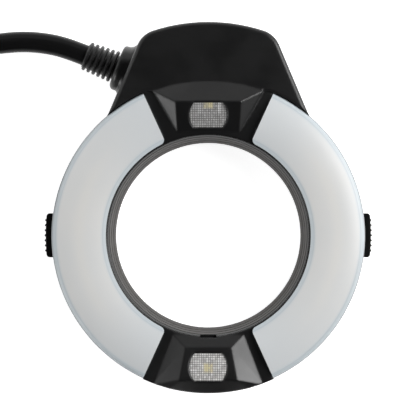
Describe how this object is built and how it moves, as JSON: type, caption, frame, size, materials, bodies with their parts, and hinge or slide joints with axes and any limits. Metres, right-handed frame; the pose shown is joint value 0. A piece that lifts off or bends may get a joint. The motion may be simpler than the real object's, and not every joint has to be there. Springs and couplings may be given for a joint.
{
  "type": "macro ring flash",
  "caption": "Ring-shaped flash head for close-up work, with opal diffusers, focusing lamps, side release buttons and a coiled lead that ends in a plug.",
  "frame": {"origin": "centre of the adapter recess on the rear face, where the head lies on its back", "axes": "+Z is the optical axis, out of the front; +Y points to the hood; +X is right as seen from the front"},
  "size_m": [0.2223, 0.138, 0.0257],
  "materials": {
    "shell_black": "fine moulded satin",
    "diffuser_opal": "opal, satin",
    "liner_grey": "turned satin",
    "frame_black": "moulded matte",
    "window_clear": "clear, prismatic",
    "lamp_yellow": "phosphor",
    "cup_bright": "satin plated",
    "board_green": "solder mask",
    "core_dark": "ferrite and tape",
    "capacitor_sleeve": "shrink sleeve",
    "tube_glass": "clear",
    "reflector_metal": "bright rolled",
    "holder_silicone": "matte",
    "cap_metal": "plated",
    "screw_steel": "blackened",
    "spring_steel": "bright wire",
    "yoke_steel": "stamped",
    "button_black": "ribbed matte",
    "boot_rubber": "satin",
    "cable_jacket": "satin",
    "tie_fabric": "hook and loop strap",
    "plug_black": "satin",
    "plug_metal": "nickel plated",
    "pin_gold": "gold plated"
  },
  "bodies": {
    "head": {"rear_housing": "shell_black", "front_cover": "shell_black", "left_diffuser": "diffuser_opal", "right_diffuser": "diffuser_opal", "bore_liner": "liner_grey", "inner_frame": "frame_black", "upper_lamp_window": "window_clear", "lower_lamp_window": "window_clear", "upper_lamp_led": "lamp_yellow", "lower_lamp_led": "lamp_yellow", "upper_lamp_cup": "cup_bright", "lower_lamp_cup": "cup_bright", "upper_lamp_board": "board_green", "lower_lamp_board": "board_green", "left_flash_tube": "tube_glass", "right_flash_tube": "tube_glass", "left_reflector": "reflector_metal", "right_reflector": "reflector_metal", "left_tube_holders": "holder_silicone", "right_tube_holders": "holder_silicone", "left_tube_caps": "cap_metal", "right_tube_caps": "cap_metal", "trigger_board": "board_green", "trigger_transformer": "core_dark", "trigger_capacitor": "capacitor_sleeve", "board_screws": "screw_steel", "housing_screws": "screw_steel", "frame_screws": "screw_steel", "clamp_screws": "screw_steel", "left_button_spring": "spring_steel", "right_button_spring": "spring_steel", "cable_boot": "boot_rubber", "cable_tail": "cable_jacket", "cable_clamp": "frame_black", "cable": "cable_jacket", "cable_coil": "cable_jacket", "cable_lead": "cable_jacket", "cable_tie": "tie_fabric", "plug_body": "plug_black", "plug_boot": "boot_rubber", "plug_shell": "plug_metal", "plug_pins": "pin_gold"},
    "left_release": {"left_release_button": "button_black", "left_release_slider": "yoke_steel"},
    "right_release": {"right_release_button": "button_black", "right_release_slider": "yoke_steel"}
  },
  "joints": [
    {"name": "left_release_slide", "type": "slide", "parent": "head", "child": "left_release", "axis": [1, 0, 0], "range_m": [0, 0.0025], "stiffness_N_per_m": 400, "springref_m": -0.003, "deforming": ["left_button_spring"]},
    {"name": "right_release_slide", "type": "slide", "parent": "head", "child": "right_release", "axis": [-1, 0, 0], "range_m": [0, 0.0025], "stiffness_N_per_m": 400, "springref_m": -0.003, "deforming": ["right_button_spring"]}
  ]
}
